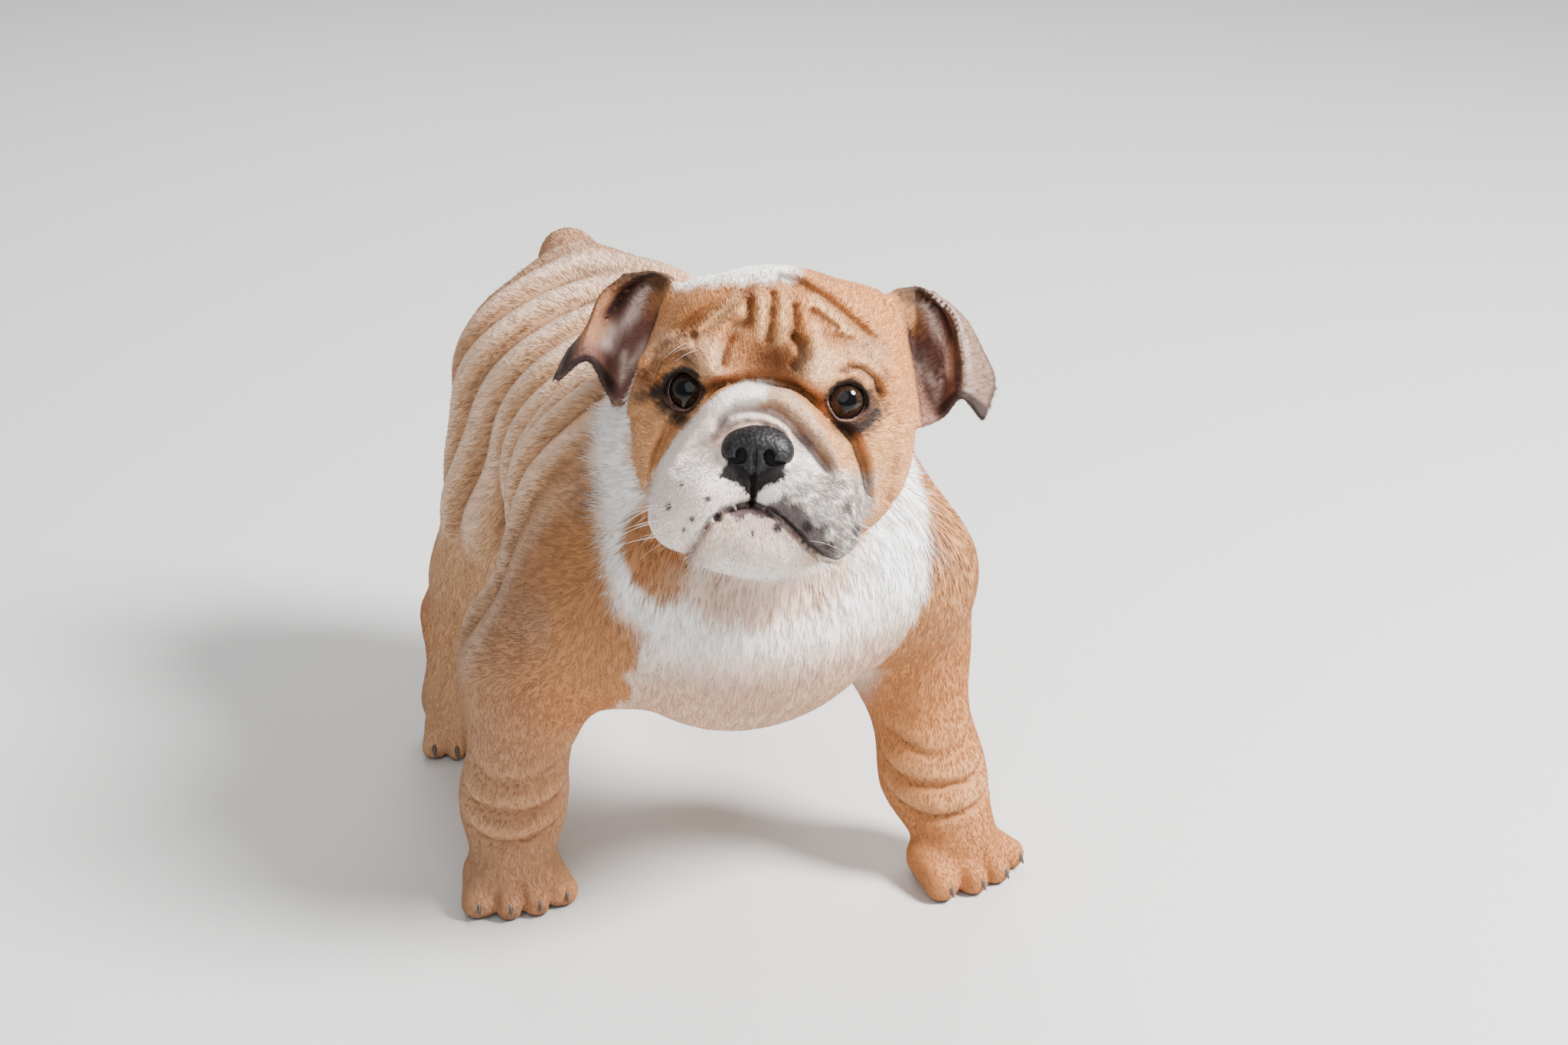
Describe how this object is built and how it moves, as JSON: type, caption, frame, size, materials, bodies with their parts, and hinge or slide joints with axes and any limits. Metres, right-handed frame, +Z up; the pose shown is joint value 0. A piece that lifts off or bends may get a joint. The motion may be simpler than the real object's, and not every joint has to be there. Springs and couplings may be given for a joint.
{
  "type": "english bulldog puppy",
  "caption": "Life-size still figure of a young English bulldog standing with its head turned and its mouth closed.",
  "frame": {"origin": "middle of the figure's bounds in plan, on the floor under the paws", "axes": "+Z up, the dog faces -Y, +X is the dog's left"},
  "size_m": [0.2694, 0.378, 0.3209],
  "materials": {
    "coat": "short flat tan coat with white on the chest, neck and crown",
    "leather": "black granular nose leather, slightly moist",
    "eye": "dark brown iris under a clear wet cornea",
    "claw": "dark horn"
  },
  "bodies": {
    "root": {"head": "coat", "chin": "coat", "neck": "coat", "chest": "coat", "barrel": "coat", "rump": "coat", "tail": "coat", "forearm_right": "coat", "forearm_left": "coat", "forepaw_right": "coat", "forepaw_left": "coat", "thigh_right": "coat", "thigh_left": "coat", "hock_right": "coat", "hock_left": "coat", "hindpaw_right": "coat", "hindpaw_left": "coat", "ear_right": "coat", "ear_left": "coat", "nose": "leather", "eye_right": "eye", "eye_left": "eye", "claw_fore_right_1": "claw", "claw_fore_right_2": "claw", "claw_fore_right_3": "claw", "claw_fore_right_4": "claw", "claw_fore_left_1": "claw", "claw_fore_left_2": "claw", "claw_fore_left_3": "claw", "claw_fore_left_4": "claw", "claw_hind_right_1": "claw", "claw_hind_right_2": "claw", "claw_hind_right_3": "claw", "claw_hind_right_4": "claw", "claw_hind_left_1": "claw", "claw_hind_left_2": "claw", "claw_hind_left_3": "claw", "claw_hind_left_4": "claw"}
  },
  "joints": []
}
